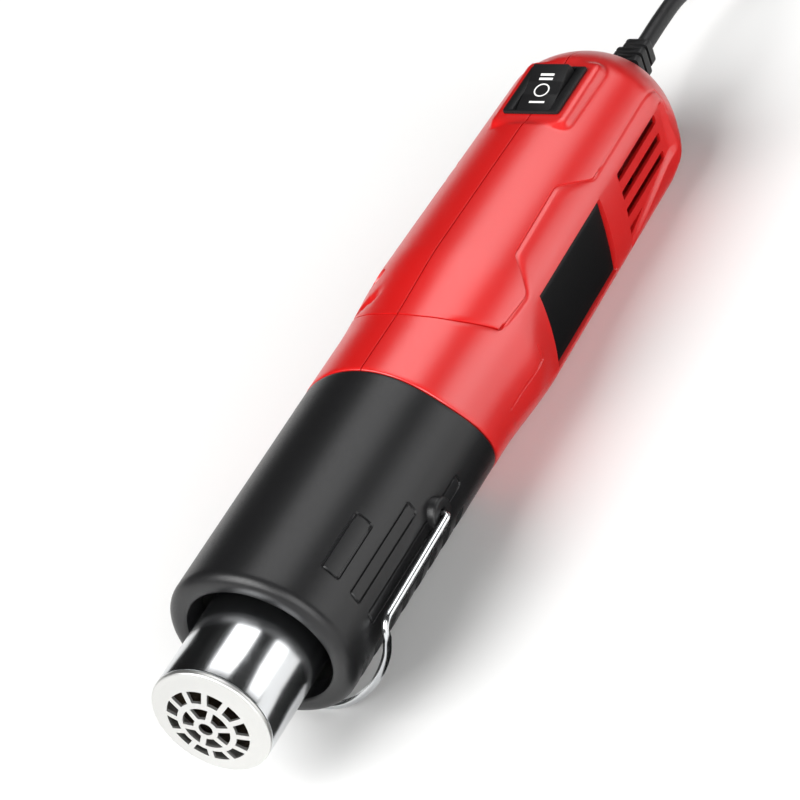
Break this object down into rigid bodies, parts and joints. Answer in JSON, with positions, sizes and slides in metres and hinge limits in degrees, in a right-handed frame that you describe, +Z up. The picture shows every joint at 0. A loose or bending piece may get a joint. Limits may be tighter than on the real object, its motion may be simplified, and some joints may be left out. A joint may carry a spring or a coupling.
{
  "type": "hot air tool",
  "caption": "Slim hand-held hot air tool with a red two-half body, black heat sleeve, bright barrel with domed grille, fold-down wire stand, rocker switch and a mains lead.",
  "frame": {"origin": "on the table under the middle of the tool without its lead, where the stand foot and the flat under the tail rest", "axes": "+Y back from the nozzle to the lead, along the tool; +Z up through the switch; +X to the tool's left, the side with the seen side plate"},
  "size_m": [0.064, 0.4893, 0.0586],
  "materials": {
    "red_plastic": "moulded, semi-gloss",
    "black_plastic": "fine satin texture",
    "gloss_black": "smooth moulded",
    "chrome": "polished plate",
    "satin_steel": "satin, pressed",
    "plain_steel": "plain",
    "brass": "plain",
    "mica": "mica sheet, matt",
    "ceramic": "unglazed",
    "circuit_board": "glass-fibre board with lacquer",
    "cord_rubber": "matt"
  },
  "bodies": {
    "body": {"left_housing": "red_plastic", "right_housing": "red_plastic", "front_shroud": "black_plastic", "nozzle_tube": "chrome", "nozzle_grille": "satin_steel", "side_plate_left": "gloss_black", "side_plate_right": "gloss_black", "stand_boss_left": "black_plastic", "stand_boss_right": "black_plastic", "switch_body": "gloss_black", "switch_terminal_1": "brass", "switch_terminal_2": "brass", "switch_terminal_3": "brass", "housing_screw_1": "plain_steel", "housing_screw_2": "plain_steel", "housing_screw_3": "plain_steel", "housing_screw_4": "plain_steel", "barrel_ring_front": "ceramic", "barrel_ring_rear": "ceramic", "mica_sleeve": "mica", "heater_former": "mica", "heater_coil": "plain_steel", "thermal_cutout": "ceramic", "motor_mount": "black_plastic", "motor_cradle": "black_plastic", "motor_can": "plain_steel", "rectifier_board": "circuit_board", "rectifier_diode_1": "gloss_black", "rectifier_diode_2": "gloss_black", "rectifier_diode_3": "gloss_black", "rectifier_diode_4": "gloss_black", "strain_relief": "cord_rubber", "inner_lead": "cord_rubber", "cord_clamp": "black_plastic", "clamp_screw_1": "plain_steel", "clamp_screw_2": "plain_steel", "cord_run": "cord_rubber", "cord_coil": "cord_rubber", "cord_tie": "black_plastic", "cord_tail": "cord_rubber", "plug_body": "cord_rubber", "plug_pin_1": "brass", "plug_pin_2": "brass"},
    "stand": {"wire_stand": "chrome"},
    "rocker": {"switch_rocker": "gloss_black"},
    "rotor": {"fan_impeller": "black_plastic", "motor_shaft": "plain_steel"}
  },
  "joints": [
    {"name": "stand_hinge", "type": "hinge", "parent": "body", "child": "stand", "pos_m": [0, -0.05764, 0.0316], "axis": [1, 0, 0], "range_deg": [0, 100]},
    {"name": "switch_rock", "type": "hinge", "parent": "body", "child": "rocker", "pos_m": [0, 0.08651, 0.05011], "axis": [-1, 0, 0], "range_deg": [0, 30]},
    {"name": "rotor_spin", "type": "hinge", "parent": "body", "child": "rotor", "pos_m": [0, -0.02207, 0.03019], "axis": [0, 0.9992, -0.0396], "continuous": true}
  ]
}
